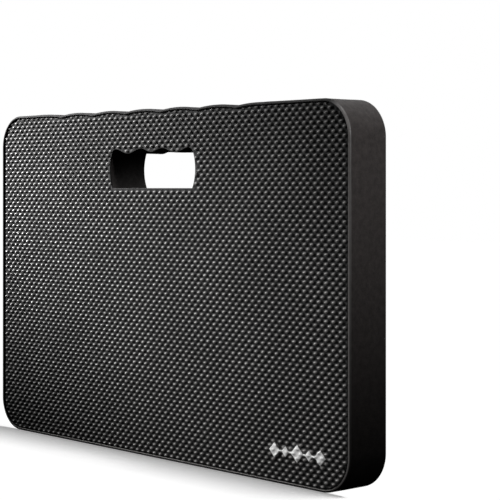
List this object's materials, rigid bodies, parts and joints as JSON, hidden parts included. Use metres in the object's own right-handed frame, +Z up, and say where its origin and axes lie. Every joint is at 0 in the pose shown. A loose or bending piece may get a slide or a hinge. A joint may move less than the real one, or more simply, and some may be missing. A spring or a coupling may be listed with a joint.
{
  "type": "kneeling pad",
  "caption": "Thick rectangular foam kneeling pad with rounded corners, bumpy grip skin, smooth reverse, a scalloped upper edge and a finger-grip carry slot.",
  "frame": {"origin": "on the standing long edge, at the middle of the width and of the thickness", "axes": "+X along the width, +Y through the thickness towards the smooth face, +Z up from the standing edge to the edge beside the carry slot"},
  "size_m": [0.45, 0.038, 0.285],
  "materials": {
    "core_foam": "matte closed-cell foam, cut face with a fine mottled grain",
    "grip_skin": "semi-gloss embossed foam skin with small raised bumps",
    "smooth_skin": "smooth matte foam skin",
    "mark_film": "satin light-grey heat-pressed film"
  },
  "bodies": {
    "root": {"foam_core": "core_foam", "front_skin": "grip_skin", "rear_skin": "smooth_skin", "front_mark": "mark_film", "rear_mark": "mark_film"}
  },
  "joints": []
}
